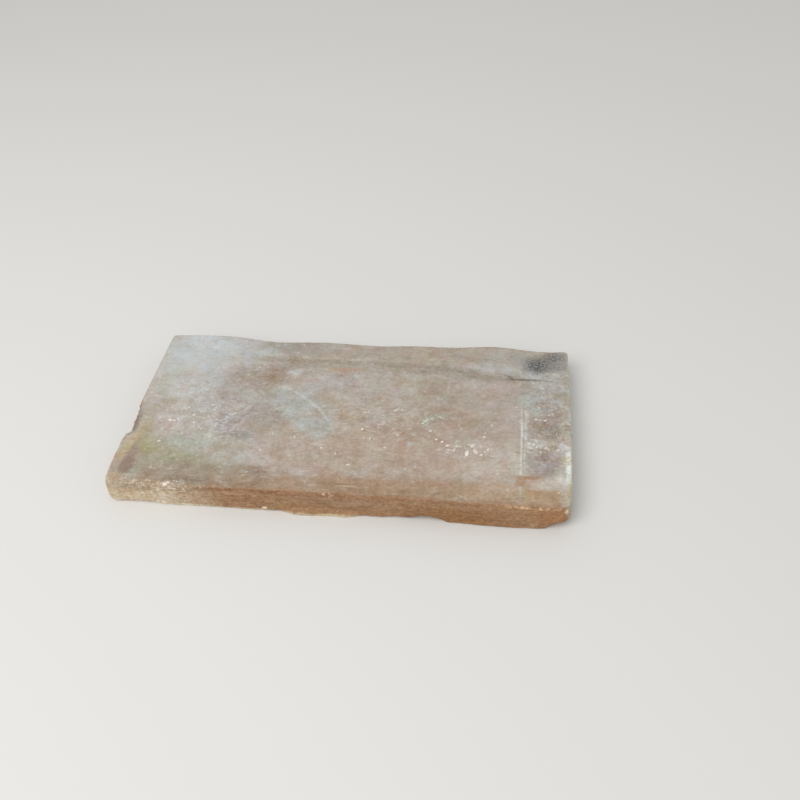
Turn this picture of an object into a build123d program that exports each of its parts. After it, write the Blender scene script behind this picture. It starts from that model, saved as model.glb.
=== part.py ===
from build123d import *

import os
from math import hypot

# A reclaimed terracotta floor paver: one piece of clay, pressed by hand into a bottomless wooden
# frame, struck off level along the top, slipped out and fired.  It lies flat on its bed face.
# X runs along the length, Y across the width from front to back, and Z up from the bed.

# The top face, in millimetres: the inside of the wooden frame, less the shrinkage of the clay.
LENGTH = 330.0
WIDTH = 160.0
THICKNESS = 22.0

# The wet clay settled as the frame was lifted off, so that the foot stands out from the top.
FOOT_SPREAD = 0.8

# The four corners, anticlockwise from the front left: how far each was dragged in along X and
# along Y, and how round it is.
CORNERS_DRAGGED_IN = [(0.2, 0.0), (1.0, 0.2), (-0.3, 1.0), (-0.2, -2.4)]
CORNER_RADII = [4.0, 6.0, 3.5, 3.0]

# Each side is a wavy line: how far it is pushed outwards at evenly spaced places along it.  The
# lists run anticlockwise too, and the front side's foot has a wave of its own.
FRONT_TOP_WAVE = [0.3, -0.5, 0.3]
FRONT_FOOT_WAVE = [0.2, 0.2, 0.0, -0.5, -0.3, 0.9, 2.2]
RIGHT_WAVE = [1.8, 1.9, 1.8, 1.1, 0.6]
BACK_WAVE = [-1.0, 2.0, -0.6, -0.9, -2.8, -1.6, -1.7, -3.0, 1.0, 1.9]
LEFT_WAVE = [0.2, 0.4, 1.2]

# The long edges are worn round on top and still fairly crisp at the foot.
TOP_EDGE_RADIUS = 2.6
FOOT_EDGE_RADIUS = 1.2

# Old breaks.  Each is a shell-shaped scar with its length along the edge and its depth.
# A bite is gone from the upper edge of the left end, in two bits: how far the middle of each is
# from the front, its length and its depth.
END_BITES = [(64.0, 32.0, 2.2), (56.5, 19.0, 4.0)]
END_BITE_FACING = (-1.0, 0.0, 0.7)

# The corners at the front: the left one is worn off on top and chipped at the foot, and the right
# one broke off at the foot along a slant.
CORNER_WEAR_LENGTH = 24.0
CORNER_WEAR_DEPTH = 4.6
CORNER_WEAR_FACING = (-1.0, -1.0, 1.0)
CORNER_CHIP_LENGTH = 15.0
CORNER_CHIP_DEPTH = 3.3
CORNER_CHIP_FACING = (-1.0, -1.0, -1.2)
CORNER_BREAK_LENGTH = 60.0
CORNER_BREAK_DEPTH = 9.8
CORNER_BREAK_FACING = (1.0, -1.4, -1.4)

# Scars along the front: how far the middle is from the left end, the length and the depth, first
# of those on the upper edge, with a small pit where a pebble popped out, then under the foot.
UPPER_SCARS = [(36.0, 70.0, 2.3), (164.0, 8.0, 2.2)]
UPPER_SCAR_FACING = (0.0, -1.0, 1.0)
FOOT_SCARS = [(22.0, 34.0, 1.4), (186.0, 100.0, 2.0), (231.0, 28.0, 3.4)]
FOOT_SCAR_FACING = (0.0, -1.0, -1.0)


def waved_side(start, end, wave):
    """A smooth line between two corners, pushed outwards by the wave."""
    along = end - start
    outwards = Vector(along.Y, -along.X) / hypot(along.X, along.Y)
    step = along / (len(wave) + 1)
    crests = [start + step * place + outwards * push for place, push in enumerate(wave, 1)]
    return Spline(start, *crests, end)


def outline(stand_out, front_wave):
    """The paver's outline seen from above, standing out from the frame's size all round."""
    corners = []
    for side_x, side_y, dragged in zip((-1, 1, 1, -1), (-1, -1, 1, 1), CORNERS_DRAGGED_IN):
        x = side_x * (LENGTH / 2 + stand_out - dragged[0])
        y = side_y * (WIDTH / 2 + stand_out - dragged[1])
        corners.append(Vector(x, y))
    front_left, front_right, back_right, back_left = corners
    face = make_face(
        [
            waved_side(front_left, front_right, front_wave),
            waved_side(front_right, back_right, RIGHT_WAVE),
            waved_side(back_right, back_left, BACK_WAVE),
            waved_side(back_left, front_left, LEFT_WAVE),
        ]
    )
    for corner, radius in zip(corners, CORNER_RADII):
        face = fillet(face.vertices().sort_by_distance(corner)[0], radius)
    return face


def moulded_block():
    """The block as it left the frame, with its long edges rounded."""
    foot = outline(FOOT_SPREAD, FRONT_FOOT_WAVE)
    top = Pos(0, 0, THICKNESS) * outline(0, FRONT_TOP_WAVE)
    block = loft([foot, top], ruled=True)
    top_edges = block.edges().group_by(Axis.Z)[-1]
    block = fillet(top_edges, TOP_EDGE_RADIUS)
    foot_edges = block.edges().group_by(Axis.Z)[0]
    return fillet(foot_edges, FOOT_EDGE_RADIUS)


def scar(on_edge, facing, length, depth):
    """A shell-shaped break: the ball that leaves a dish of this length and depth in an edge."""
    ball_radius = (length**2 / 4 + depth**2) / (2 * depth)
    outwards = Vector(*facing).normalized()
    return Pos(Vector(*on_edge) + outwards * (ball_radius - depth)) * Sphere(ball_radius)


def old_breaks():
    """What has come off the edges since the firing: one ball to cut away for each break."""
    left = -LENGTH / 2
    right = LENGTH / 2
    front = -WIDTH / 2
    breaks = [
        scar((left, front, THICKNESS), CORNER_WEAR_FACING, CORNER_WEAR_LENGTH, CORNER_WEAR_DEPTH),
        scar((left, front, 0), CORNER_CHIP_FACING, CORNER_CHIP_LENGTH, CORNER_CHIP_DEPTH),
        scar((right, front, 0), CORNER_BREAK_FACING, CORNER_BREAK_LENGTH, CORNER_BREAK_DEPTH),
    ]
    for from_front, length, depth in END_BITES:
        breaks.append(scar((left, front + from_front, THICKNESS), END_BITE_FACING, length, depth))
    for from_left, length, depth in UPPER_SCARS:
        breaks.append(scar((left + from_left, front, THICKNESS), UPPER_SCAR_FACING, length, depth))
    for from_left, length, depth in FOOT_SCARS:
        breaks.append(scar((left + from_left, front, 0), FOOT_SCAR_FACING, length, depth))
    return breaks


paver = moulded_block() - old_breaks()

# The origin is under the middle of the paver, on the bed face.
box = paver.bounding_box()
paver = Pos(-box.center().X, -box.center().Y, -box.min.Z) * paver

os.makedirs("parts", exist_ok=True)
export_step(paver, "parts/paver.step")

print("overall size", box.size)
print("volume in cubic millimetres", paver.volume)
print("middle of the box before it was centred", box.center())
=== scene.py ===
from math import cos, radians, sin

import bmesh
import bpy
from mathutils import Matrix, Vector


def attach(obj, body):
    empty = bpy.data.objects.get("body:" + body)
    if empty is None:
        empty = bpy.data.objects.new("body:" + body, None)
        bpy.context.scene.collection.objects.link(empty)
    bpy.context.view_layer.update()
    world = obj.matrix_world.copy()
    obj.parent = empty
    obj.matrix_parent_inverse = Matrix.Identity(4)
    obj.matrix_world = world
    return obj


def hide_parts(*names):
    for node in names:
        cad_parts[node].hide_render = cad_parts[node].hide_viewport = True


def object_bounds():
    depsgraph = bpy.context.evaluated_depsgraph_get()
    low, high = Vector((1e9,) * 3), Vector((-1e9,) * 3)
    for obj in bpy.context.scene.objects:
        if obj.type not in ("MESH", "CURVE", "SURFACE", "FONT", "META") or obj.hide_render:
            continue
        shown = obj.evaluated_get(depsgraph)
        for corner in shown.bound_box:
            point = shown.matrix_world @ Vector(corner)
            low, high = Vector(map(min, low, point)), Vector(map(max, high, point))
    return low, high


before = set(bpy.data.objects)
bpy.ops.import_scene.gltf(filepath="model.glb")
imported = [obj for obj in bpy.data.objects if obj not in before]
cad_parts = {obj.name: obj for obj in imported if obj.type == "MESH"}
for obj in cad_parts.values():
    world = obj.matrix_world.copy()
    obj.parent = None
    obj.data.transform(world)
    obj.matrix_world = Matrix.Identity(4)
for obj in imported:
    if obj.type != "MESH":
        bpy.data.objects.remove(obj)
frame_low, frame_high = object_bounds()

# The paver's body: one piece of sandy clay, pressed by hand into a bottomless wooden frame, struck
# off along its length, slipped out and fired.  The strike left long drag lines on the walking face,
# the frame left level ones on the sides, and the bed took the print of the sand it dried on.
MILLIMETRE = 0.001
BODY_VOXEL = 0.8 * MILLIMETRE
BODY_TRIANGLES = 172000
SAME_PLACE = 0.001 * MILLIMETRE
PIT_SPACING = 7.0
CLOUD_STEPS = (37.3, -19.1, 53.9)
COARSE_TEAR = 4.0
FINE_TEAR = 1.6
NOWHERE = (0.0, 0.0, 0.0)
TO_THE_RIGHT = (1.0, 0.0, 0.0)
TO_THE_BACK = (0.0, 1.0, 0.0)
UPWARDS = (0.0, 0.0, 1.0)


def feed(node, inputs):
    """Feeds a node's inputs, each named or numbered, with a link or with a value."""
    for where, value in inputs.items():
        if isinstance(value, bpy.types.NodeSocket):
            node.id_data.links.new(value, node.inputs[where])
        else:
            node.inputs[where].default_value = value


def put(tree, kind, inputs=(), output=0, **settings):
    """Adds a node, sets it, feeds its inputs, and gives back one of its outputs."""
    node = tree.nodes.new(kind)
    for name, value in settings.items():
        setattr(node, name, value)
    feed(node, dict(inputs))
    return node.outputs[output]


def put_group(tree, group, inputs):
    """Adds a node group, feeds its inputs, and gives back all its outputs."""
    node = tree.nodes.new(tree.bl_idname.replace("NodeTree", "NodeGroup"))
    node.node_tree = group
    feed(node, inputs)
    return node.outputs


def tree_of(*values):
    """The node tree that the first socket among some values is in."""
    return next(value.id_data for value in values if isinstance(value, bpy.types.NodeSocket))


def maths(operation, *values):
    return put(tree_of(*values), "ShaderNodeMath", enumerate(values), operation=operation)


def vectors(operation, *values):
    return put(tree_of(*values), "ShaderNodeVectorMath", enumerate(values), operation=operation)


def scaled(vector, factor):
    inputs = {0: vector, 3: factor}
    return put(tree_of(vector, factor), "ShaderNodeVectorMath", inputs, operation="SCALE")


def part_of(vector, direction):
    """How far a vector reaches in one direction."""
    inputs = {0: vector, 1: direction}
    kind = "ShaderNodeVectorMath"
    return put(vector.id_data, kind, inputs, output="Value", operation="DOT_PRODUCT")


def product(*values):
    made = values[0]
    for value in values[1:]:
        made = maths("MULTIPLY", made, value)
    return made


def total(*values):
    made = values[0]
    for value in values[1:]:
        made = maths("ADD", made, value)
    return made


def graded(value, low, high, from_value=0.0, to_value=1.0):
    """Runs smoothly from one value to the other as the input goes from low to high."""
    limits = {0: value, 1: low, 2: high, 3: from_value, 4: to_value}
    return put(value.id_data, "ShaderNodeMapRange", limits, interpolation_type="SMOOTHSTEP")


def clouds(place, size, detail=3.0, roughness=0.5, seed=0, output="Fac"):
    """Cloudy noise from 0 to 1 whose lumps are about this many millimetres across."""
    moved = vectors("ADD", place, [seed * step for step in CLOUD_STEPS])
    inputs = {"Vector": moved, "Scale": 1 / size, "Detail": detail, "Roughness": roughness}
    return put(place.id_data, "ShaderNodeTexNoise", inputs, output=output)


def either_way(noise):
    """Clouds made to rise and fall about nothing, by nearly one."""
    return maths("MULTIPLY_ADD", noise, 3.4, -1.7)


def sockets(group, inputs, outputs):
    """Gives a group its inputs, each a name with a value to start from or with its kind, and its
    outputs, each a name with its kind."""
    for name, value in inputs.items():
        kinds = {str: value, tuple: "NodeSocketVector", float: "NodeSocketFloat"}
        kind = kinds[type(value)]
        socket = group.interface.new_socket(name, in_out="INPUT", socket_type=kind)
        if kind != value:
            socket.default_value = value
    for name, kind in outputs.items():
        group.interface.new_socket(name, in_out="OUTPUT", socket_type=kind)
    return group.nodes.new("NodeGroupInput").outputs, group.nodes.new("NodeGroupOutput").inputs


def tear_group(kind):
    """How places are shifted, in millimetres, to make the edges of marks ragged; and a pattern of
    gaps, from 0 to 1, that wears marks away in patches."""
    group = bpy.data.node_groups.new("tear", kind)
    outputs = {"Tear": "NodeSocketVector", "Gaps": "NodeSocketFloat"}
    given, made = sockets(group, {"Place": NOWHERE}, outputs)
    place = given["Place"]
    coarse = clouds(place, 20.0, detail=2.0, seed=1, output="Color")
    fine = clouds(place, 3.2, detail=3.0, roughness=0.6, seed=2, output="Color")
    both = vectors("ADD", scaled(coarse, COARSE_TEAR), scaled(fine, FINE_TEAR))
    tear = vectors("SUBTRACT", both, 3 * [(COARSE_TEAR + FINE_TEAR) / 2])
    group.links.new(tear, made["Tear"])
    torn = vectors("ADD", place, tear)
    gaps = graded(clouds(torn, 3.0, 4.0, 0.62, seed=11), 0.60, 0.40)
    group.links.new(gaps, made["Gaps"])
    return group


def mark_group(kind):
    """One mark on a face: a blot, a patch or a stroke with a soft and ragged edge."""
    group = bpy.data.node_groups.new("mark", kind)
    given, made = sockets(
        group,
        {
            "Place": NOWHERE,
            "Middle": NOWHERE,
            "Length axis": TO_THE_RIGHT,
            "Width axis": TO_THE_BACK,
            "Bow": 0.0,
            "Squareness": 2.0,
            "Softness": 0.3,
            "Tear": NOWHERE,
            "Raggedness": 1.0,
            "Gaps": 0.0,
            "Patchiness": 0.0,
            "Strength": 1.0,
        },
        {"Mark": "NodeSocketFloat"},
    )
    torn = vectors("MULTIPLY_ADD", given["Tear"], given["Raggedness"], given["Place"])
    out = vectors("SUBTRACT", torn, given["Middle"])
    along = part_of(out, given["Length axis"])
    bowed = maths("MULTIPLY_ADD", along, along, -1.0)
    across = part_of(out, given["Width axis"])
    across = maths("MULTIPLY_ADD", bowed, given["Bow"], across)
    powers = [
        maths("POWER", maths("ABSOLUTE", share), given["Squareness"])
        for share in (along, across)
    ]
    root = maths("DIVIDE", 1.0, given["Squareness"])
    reach = maths("POWER", maths("ADD", *powers), root)
    outer = maths("ADD", 1.0, given["Softness"])
    inner = maths("SUBTRACT", 1.0, given["Softness"])
    solid = graded(reach, outer, inner, 0.0, given["Strength"])
    wear = maths("MULTIPLY", given["Patchiness"], -1.0)
    left = maths("MULTIPLY_ADD", given["Gaps"], wear, 1.0)
    group.links.new(maths("MULTIPLY", solid, left), made["Mark"])
    return group


# The tear and the mark are built once for each kind of tree that uses them.
TREE_KINDS = ("GeometryNodeTree", "ShaderNodeTree")
TEARS = {kind: tear_group(kind) for kind in TREE_KINDS}
MARKS = {kind: mark_group(kind) for kind in TREE_KINDS}


def torn_at(place):
    """How a place is torn, and the gaps there."""
    tree = place.id_data
    return put_group(tree, TEARS[tree.bl_idname], {"Place": place})


def mark(place, row, tear, gaps=0.0):
    """Places one mark.  Its row gives the middle and half size in millimetres, the squareness,
    softness, raggedness, patchiness and strength, and, if it has them, the turn in degrees and the
    bow, which is how far its middle swings out, in half widths."""
    middle, half_size, *edge, strength, turn, bow = (*row, 0, 0)[:9]
    squareness, softness, raggedness, patchiness = edge
    across, up = cos(radians(turn)), sin(radians(turn))
    inputs = {
        "Place": place,
        "Middle": (*middle, 0),
        "Length axis": (across / half_size[0], up / half_size[0], 0.0),
        "Width axis": (-up / half_size[1], across / half_size[1], 0.0),
        "Bow": bow,
        "Squareness": squareness,
        "Softness": softness,
        "Tear": tear,
        "Raggedness": raggedness,
        "Gaps": gaps,
        "Patchiness": patchiness,
        "Strength": strength,
    }
    tree = place.id_data
    return put_group(tree, MARKS[tree.bl_idname], inputs)[0]


def marked(place, rows, tear, gaps=0.0):
    """Places several marks, and adds them up."""
    return total(*[mark(place, row, tear, gaps) for row in rows])


# Marks pressed into the clay, as the rows that mark() reads, with their depth in millimetres as the
# strength.  Where that is less than nothing they stand proud.  Those of the walking face are placed
# from above, and those of the front from the front, with heights from the bed.
FACE_RELIEF = [
    # the crease parallel to the back edge, its lip and its hook
    ((-30, 54.3), (52, 2), 4, 0.9, 0.9, 0.45, 0.2, -0.5, 0.5),
    ((70, 49), (42, 2), 4, 0.9, 0.9, 0.45, 0.2, -4.5, 0.6),
    ((119.6, 43.9), (4.5, 0.9), 3, 0.8, 0.3, 0, 0.28, -34, 0.6),
    ((138, 42), (16, 0.8), 3, 0.8, 0.3, 0.1, 0.3, 0.5, 0.5),
    ((-26, 57), (50, 1.2), 4, 0.9, 0.6, 0.4, -0.14, 0, 0.6),
    # the short crease near the front edge with its bright lip
    ((8.6, -71), (6.5, 0.9), 3, 0.8, 0.4, 0, 0.42, -3, 0.6),
    ((12.4, -72.4), (6.5, 0.8), 3, 0.9, 0.4, 0, -0.25, -3, 0.6),
    # scraped and worn places
    ((-60, -74.5), (42, 2.2), 4, 0.8, 1.5, 0.2, 0.3, 0, 0.3),
    ((147, 0), (17.5, 62), 8, 0.06, 0.8, 0.3, 0.1),
    ((-90, -14), (15, 22), 2, 0.5, 3, 0.7, 0.2, 12),
    ((66, -5), (10, 6), 2, 0.5, 2, 0.8, 0.26, 12),
    ((148, -24), (11, 8), 2, 0.5, 2, 0.8, 0.26),
    ((-62, -42), (26, 1.2), 3, 0.9, 1, 0.4, 0.16, 3, 0.8),
    ((50, -73), (64, 0.9), 4, 0.9, 0.8, 0.5, 0.16, 0.6, 0.6),
]
FRONT_RELIEF = [
    # long folds and cracks, the first of them with a lip
    ((-78, 18.2), (22, 0.8), 3, 0.9, 0.6, 0.2, 0.45, 4, 0.5),
    ((-76, 19.7), (20, 0.8), 3, 0.9, 0.6, 0.2, -0.2, 4, 0.5),
    ((-10, 16.5), (48, 0.7), 3, 0.9, 0.5, 0.4, 0.3, -1, 0.5),
    ((64, 18.8), (44, 0.7), 3, 0.9, 0.5, 0.4, 0.34, 0.5, 0.5),
    ((102, 11), (34, 0.8), 3, 0.9, 0.5, 0.5, 0.28, -1, 0.5),
    ((-128, 11.5), (26, 0.8), 3, 0.9, 0.8, 0.4, 0.32, -4, 0.5),
    # crumbled places just below the upper edge
    ((-112, 18), (15, 3.6), 2, 0.7, 2.5, 0.7, 0.5, -5, 0.4),
    ((-143, 19), (13, 2.6), 2, 0.7, 2, 0.7, 0.45, -3, 0.2),
    ((139, 20.2), (18, 0.9), 3, 0.6, 0.8, 0.4, 0.5, -0.6, 0.2),
    # a low fold, and chips near the foot
    ((30, 6), (60, 0.8), 3, 0.9, 0.8, 0.6, 0.26, 0.5, 0.5),
    ((-50, 3), (3, 1.8), 2, 0.4, 1, 0.2, 0.6, 20),
    ((137, 3.5), (3.6, 1.6), 2, 0.4, 1, 0.2, 0.6, 10),
    ((146, 5), (3, 1.2), 2, 0.4, 1, 0.2, 0.5, -6),
]

# How far the upper edge has crumbled all along, and where worst; its chalky stretch, and the
# fracture of the bitten end.
CRUMBLED_ALL_ALONG = 0.45
CRUMBLED = [
    ((-128, -79), (40, 9), 2, 0.5, 3, 0, 0.8),
    ((140, -79), (24, 7), 2, 0.5, 3, 0, 0.7),
    ((-163, -20), (6, 18), 2, 0.5, 3, 0, 0.9),
]
CHALKY_EDGE = ((-132, -80), (30, 4.6), 3, 0.5, 2.5, 0, 1, -1)
FRACTURE = ((-165.5, -17), (7, 17), 2, 0.5, 2.2, 0, 1, 6)

# Where the wet clay squeezed out under the frame, seen from above.
FOOT_LIP = [
    ((-8, -83), (23, 8), 3, 0.35, 1, 0, 1),
    ((24, -83), (16, 8), 3, 0.5, 1, 0, 0.5),
]

# Clay that is left on the broken corner at the front right.
CORNER_STUMP = ((168, -83), (13, 13), 2, 0.6, 0.4, 0, 1)


def relief_tree():
    """Sinks the frame's smooth skin a little and gives it the fired clay's real surface."""
    tree = bpy.data.node_groups.new("clay relief", "GeometryNodeTree")
    given, made = sockets(
        tree,
        {
            "Geometry": "NodeSocketGeometry",
            "Finish": "NodeSocketMaterial",
            "Sunk": 0.40,
            "Swell": 0.20,
            "Lumps": 0.13,
            "Fine lumps": 0.08,
            "Strike lines": 0.08,
            "Frame drag": 0.20,
            "Chalk": 0.34,
            "Pits": 0.50,
            "Crumbling": 0.62,
            "Ragged foot": 0.40,
            "Foot lip": 3.2,
            "Corner stump": 5.0,
            "Lowest corner": NOWHERE,
            "Highest corner": (1.0, 1.0, 1.0),
        },
        {"Geometry": "NodeSocketGeometry"},
    )
    place = scaled(put(tree, "GeometryNodeInputPosition"), 1 / MILLIMETRE)
    normal = put(tree, "GeometryNodeInputNormal")
    up = part_of(normal, UPWARDS)
    height = part_of(place, UPWARDS)
    tear, gaps = torn_at(place)

    # Which face each place is on, and how near it is to an edge.
    walked = graded(up, 0.55, 0.95)
    side = graded(maths("ABSOLUTE", up), 0.75, 0.30)
    turning_over = product(up, maths("SUBTRACT", 1.0, up))
    arris = put(tree, "GeometryNodeBlurAttribute", {0: graded(turning_over, 0.0, 0.2), 1: 5})

    # Slow swells, the lumps that the hands pushed in, and drag lines along the strike and the frame.
    rougher_on_sides = graded(side, 0.0, 1.0, 1.0, 1.9)
    swell = either_way(clouds(place, 62.0, 1.0, seed=3))
    lumps = either_way(clouds(place, 12.0, 3.0, 0.55, seed=4))
    fine_lumps = either_way(clouds(place, 3.4, 3.0, 0.6, seed=5))
    strike_at = vectors("MULTIPLY", place, (0.05, 0.55, 0.3))
    strike = either_way(clouds(strike_at, 1.0, 3.0, 0.6, seed=6))
    drag_at = vectors("MULTIPLY_ADD", place, (0.05, 0.05, 0.62), scaled(tear, 0.1))
    drag = either_way(clouds(drag_at, 1.0, 3.0, 0.6, seed=7))
    risen = [
        product(swell, given["Swell"]),
        product(lumps, given["Lumps"], rougher_on_sides),
        product(fine_lumps, given["Fine lumps"], rougher_on_sides),
        product(strike, given["Strike lines"], walked),
        product(drag, given["Frame drag"], side),
    ]

    # The foot is ragged where wet clay squeezed under the frame, the bitten end is a fracture, and
    # the chalky stretch of the upper edge is a crust of crumbs.
    at_foot = product(graded(height, 6.0, 1.5), side)
    ragged = either_way(clouds(place, 6.0, 3.0, 0.6, seed=9))
    broken = product(mark(place, FRACTURE, tear), graded(height, 10.0, 16.0))
    fracture = either_way(clouds(place, 3.0, 4.0, 0.65, seed=10))
    chalky = product(mark(place, CHALKY_EDGE, tear), graded(height, 13.0, 18.0))
    crust = either_way(clouds(place, 2.4, 2.0, 0.6, seed=12))
    stump = product(mark(place, CORNER_STUMP, tear), graded(up, -0.1, -0.4))
    stump = put(tree, "GeometryNodeBlurAttribute", {0: stump, 1: 3})
    dropped = scaled(UPWARDS, product(stump, given["Corner stump"], -1.0))
    lips = marked(place, FOOT_LIP, tear)
    risen += [
        product(ragged, given["Ragged foot"], at_foot),
        product(graded(fracture, -0.6, 0.6, -1.5, -0.1), broken),
        product(lips, graded(height, 4.8, 1.8), given["Foot lip"]),
        product(crust, given["Chalk"], chalky),
    ]

    # Pits where grit and straw burnt or fell out, in some of the cells of a loose pattern.
    torn = vectors("ADD", scaled(tear, 0.5), place)
    pit_cells = {"Vector": torn, "Scale": 1 / PIT_SPACING}
    from_pit = put(tree, "ShaderNodeTexVoronoi", pit_cells, output="Distance")
    pit_lot = part_of(put(tree, "ShaderNodeTexVoronoi", pit_cells, output="Color"), TO_THE_RIGHT)
    pit_reach = graded(pit_lot, 0.62, 1.0, 0.0, 0.22)
    pit = graded(maths("SUBTRACT", from_pit, pit_reach), 0.02, -0.10)

    # The upper edge has crumbled in small bites.
    bites = graded(clouds(place, 4.2, 3.0, 0.6, seed=8), 0.40, 0.72)
    worse = total(CRUMBLED_ALL_ALONG, *[mark(place, row, tear) for row in CRUMBLED])

    # The marks pressed in by the rows above.
    across = part_of(place, TO_THE_RIGHT)
    from_front = put(tree, "ShaderNodeCombineXYZ", {0: across, 1: height})
    front = product(side, graded(part_of(place, TO_THE_BACK), -40.0, -70.0))
    face_marks = marked(place, FACE_RELIEF, tear, gaps)
    front_marks = marked(from_front, FRONT_RELIEF, tear, gaps)
    sunk = [
        given["Sunk"],
        product(pit, given["Pits"]),
        product(bites, worse, arris, given["Crumbling"]),
        product(face_marks, walked),
        product(front_marks, front),
    ]

    # The skin is moved, and keeps what its finish reads: how it faces and how far it rose or sank.
    rise = maths("SUBTRACT", total(*risen), total(*sunk))
    clay = given["Geometry"]
    for name, value in (("facing_up", up), ("rise", rise)):
        inputs = {"Geometry": clay, "Name": name, "Value": value}
        clay = put(tree, "GeometryNodeStoreNamedAttribute", inputs, data_type="FLOAT")
    offset = scaled(vectors("ADD", scaled(normal, rise), dropped), MILLIMETRE)
    clay = put(tree, "GeometryNodeSetPosition", {"Geometry": clay, "Offset": offset})

    # Nothing stands out of the space that the moulded block fills.
    inside = vectors("MAXIMUM", put(tree, "GeometryNodeInputPosition"), given["Lowest corner"])
    inside = vectors("MINIMUM", inside, given["Highest corner"])
    clay = put(tree, "GeometryNodeSetPosition", {"Geometry": clay, "Position": inside})
    clay = put(tree, "GeometryNodeRealizeInstances", {"Geometry": clay})
    clay = put(tree, "GeometryNodeSetMaterial", {"Geometry": clay, "Material": given["Finish"]})
    tree.links.new(clay, made["Geometry"])
    return tree


def set_inputs(modifier, values):
    """Sets inputs of a geometry nodes modifier by their identifiers, which are found by name."""
    for item in modifier.node_group.interface.items_tree:
        if item.item_type == "SOCKET" and item.in_out == "INPUT" and item.name in values:
            modifier[item.identifier] = values[item.name]


def set_out(name, data):
    """Sets a mesh, a lamp or a camera out in the scene, and gives back its object."""
    thing = bpy.data.objects.new(name, data)
    bpy.context.scene.collection.objects.link(thing)
    return thing


def settle(piece):
    """Makes what the piece's modifiers give its plain mesh, and takes the modifiers off."""
    shown = piece.evaluated_get(bpy.context.evaluated_depsgraph_get())
    piece.data = bpy.data.meshes.new_from_object(shown)
    piece.modifiers.clear()


def paint(red, green, blue):
    """A colour as it looks, from 0 to 255, made the linear one that a shader takes."""
    shares = [level / 255 for level in (red, green, blue)]
    return (*[s / 12.92 if s <= 0.04045 else ((s + 0.055) / 1.055) ** 2.4 for s in shares], 1.0)


def mixed(amount, first, second, how="MIX"):
    """One colour laid over another by this amount."""
    inputs = {0: amount, 6: first, 7: second}
    tree = tree_of(amount, first, second)
    return put(tree, "ShaderNodeMix", inputs, output=2, data_type="RGBA", blend_type=how)


def painted(under, colour, *amounts):
    """Lays a colour over another, by the product of some amounts."""
    return mixed(product(*amounts), under, paint(*colour))


def blank_finish(name):
    """A material with nothing in it yet, its node tree, and the place on the piece in millimetres."""
    material = bpy.data.materials.new(name)
    material.use_nodes = True
    tree = material.node_tree
    tree.nodes.clear()
    place = scaled(put(tree, "ShaderNodeTexCoord", output="Object"), 1 / MILLIMETRE)
    return material, tree, place


def end_finish(tree, colour, bump, roughness, gloss):
    """Ends a material in a shader of this colour, with a bump."""
    shader = {
        "Base Color": colour,
        "Roughness": roughness,
        "Specular IOR Level": gloss,
        "Normal": put(tree, "ShaderNodeBump", bump),
    }
    finish = put(tree, "ShaderNodeBsdfPrincipled", shader)
    tree.links.new(finish, tree.nodes.new("ShaderNodeOutputMaterial").inputs["Surface"])


def grain_group():
    """The fine life of the clay: the shade to multiply a colour by, and the grain itself from 0 to 1.
    Where the dust lies thicker the clay is paler and bluer, and the hue wanders a little by itself."""
    group = bpy.data.node_groups.new("grain", "ShaderNodeTree")
    inputs = {"Place": NOWHERE, "Dust contrast": 0.8, "Grain contrast": 0.8, "Tint": 0.19}
    outputs = {"Shade": "NodeSocketColor", "Grain": "NodeSocketFloat"}
    given, made = sockets(group, inputs, outputs)
    at = vectors("MULTIPLY", given["Place"], (0.8, 0.9, 1.3))
    dust = maths("SUBTRACT", clouds(at, 9.0, 1.6, 0.78, seed=31), 0.5)
    dust = scaled((0.62, 1.0, 1.42), product(dust, given["Dust contrast"]))
    grain = clouds(at, 2.2, 1.6, 0.9, seed=33)
    lighter = product(maths("SUBTRACT", grain, 0.5), given["Grain contrast"])
    lighter = scaled((0.92, 1.0, 1.1), lighter)
    hues = clouds(at, 12.0, 1.6, 0.5, seed=32, output="Color")
    tint = vectors("SUBTRACT", hues, (0.5, 0.5, 0.5))
    tint = vectors("MULTIPLY", tint, (1.0, 0.6, 1.0))
    tint = vectors("MULTIPLY_ADD", tint, given["Tint"], (1.0, 1.0, 1.0))
    shade = vectors("ADD", tint, vectors("ADD", dust, lighter))
    group.links.new(shade, made["Shade"])
    group.links.new(grain, made["Grain"])
    return group


def smear_group():
    """Short smears of dust and lime along the length: pale ones and dark ones, from 0 to 1."""
    group = bpy.data.node_groups.new("smears", "ShaderNodeTree")
    outputs = {"Pale": "NodeSocketFloat", "Dark": "NodeSocketFloat"}
    given, made = sockets(group, {"Place": NOWHERE, "Size": 3.6}, outputs)
    drawn_out = vectors("MULTIPLY", given["Place"], (0.38, 1.0, 1.0))
    at = vectors("DIVIDE", drawn_out, given["Size"])
    for name, seed in (("Pale", 34), ("Dark", 35)):
        noise = clouds(at, 1.0, 2.0, 0.75, seed=seed)
        group.links.new(graded(noise, 0.54, 0.70), made[name])
    return group


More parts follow.
